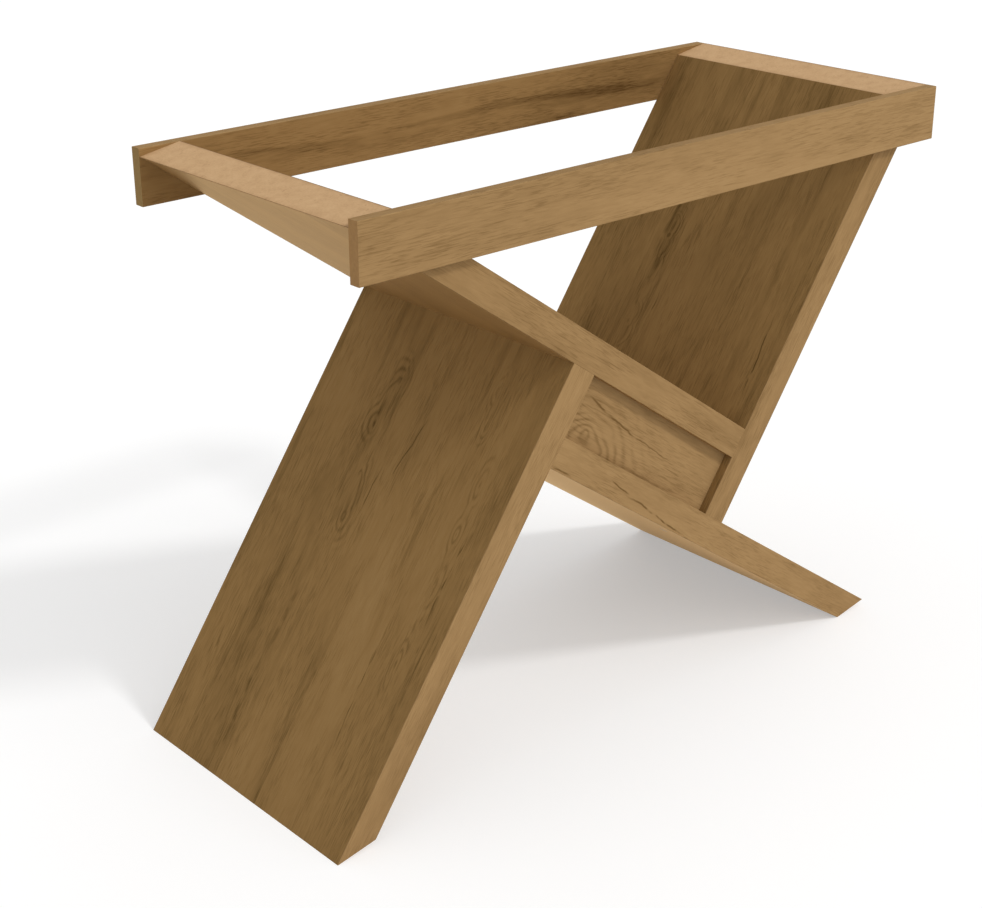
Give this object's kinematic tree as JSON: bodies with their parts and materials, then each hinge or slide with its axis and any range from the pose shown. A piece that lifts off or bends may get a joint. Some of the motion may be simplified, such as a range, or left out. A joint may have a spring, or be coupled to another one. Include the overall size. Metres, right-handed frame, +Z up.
{
  "type": "dining table base",
  "caption": "Dining table base of thick oak-finish boards crossed as a pinwheel X, with a closed middle box and a rail along the front and the rear at the top.",
  "frame": {"origin": "on the floor, under the middle of the base's length and depth", "axes": "+X to the right along the rails seen from the front, +Y to the rear, +Z up"},
  "size_m": [0.9964, 0.422, 0.75],
  "materials": {
    "oak_finish_board": "satin oak-look finish over fibreboard, raw at the sawn tops and feet",
    "beech_dowel": "raw beech",
    "zinc_cam": "die-cast zinc",
    "zinc_plated_steel": "zinc-plated"
  },
  "bodies": {
    "root": {"lower_left_leg": "oak_finish_board", "lower_right_leg": "oak_finish_board", "upper_left_arm": "oak_finish_board", "upper_right_arm": "oak_finish_board", "front_rail": "oak_finish_board", "rear_rail": "oak_finish_board", "front_infill": "oak_finish_board", "rear_infill": "oak_finish_board", "front_rail_cams": "zinc_cam", "rear_rail_cams": "zinc_cam", "front_rail_cam_bolts": "zinc_plated_steel", "rear_rail_cam_bolts": "zinc_plated_steel", "upper_seam_screws": "zinc_plated_steel", "lower_seam_screws": "zinc_plated_steel", "left_half_dowels": "beech_dowel", "right_half_dowels": "beech_dowel"}
  },
  "joints": []
}
